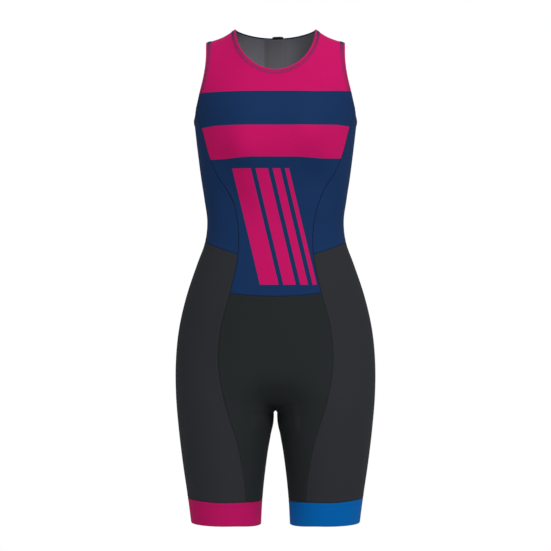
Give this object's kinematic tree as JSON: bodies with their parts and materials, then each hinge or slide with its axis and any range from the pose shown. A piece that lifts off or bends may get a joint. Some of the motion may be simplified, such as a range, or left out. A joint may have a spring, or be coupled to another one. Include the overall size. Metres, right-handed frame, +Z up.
{
  "type": "triathlon suit",
  "caption": "Sleeveless one-piece triathlon suit in its worn form: princess-seamed top, mid-thigh shorts with elastic leg bands and a back zip.",
  "frame": {"origin": "midway between the two neck-side shoulder points, where the wearer's shoulders hold the suit", "axes": "+Z up the wearer's height, -Y toward the front of the suit, +X toward the wearer's left"},
  "size_m": [0.3512, 0.2374, 0.863],
  "materials": {
    "navy_knit": "matte",
    "navy_side_knit": "matte",
    "black_knit": "matte",
    "charcoal_knit": "matte",
    "magenta_band": "matte",
    "blue_band": "matte",
    "pad_foam": "matte",
    "black_tape": "satin",
    "grey_guard": "matte",
    "black_trim": "matte",
    "dark_metal": "satin"
  },
  "bodies": {
    "suit": {"front_top": "navy_knit", "back_top_right": "navy_knit", "back_top_left": "navy_knit", "side_top_right": "navy_side_knit", "side_top_left": "navy_side_knit", "shorts_front": "black_knit", "shorts_back": "black_knit", "side_leg_right": "charcoal_knit", "side_leg_left": "charcoal_knit", "leg_band_right": "magenta_band", "leg_band_left": "blue_band", "chamois_pad": "pad_foam", "zip_tape": "black_tape", "zip_guard": "grey_guard", "zip_garage": "black_trim", "zip_slider": "dark_metal"},
    "zip_pull": {"zip_pull_tab": "dark_metal"}
  },
  "joints": [
    {"name": "zip_pull_hinge", "type": "hinge", "parent": "suit", "child": "zip_pull", "pos_m": [0, 0.07936, -0.02745], "axis": [1, 0, 0], "range_deg": [0, 150]}
  ]
}
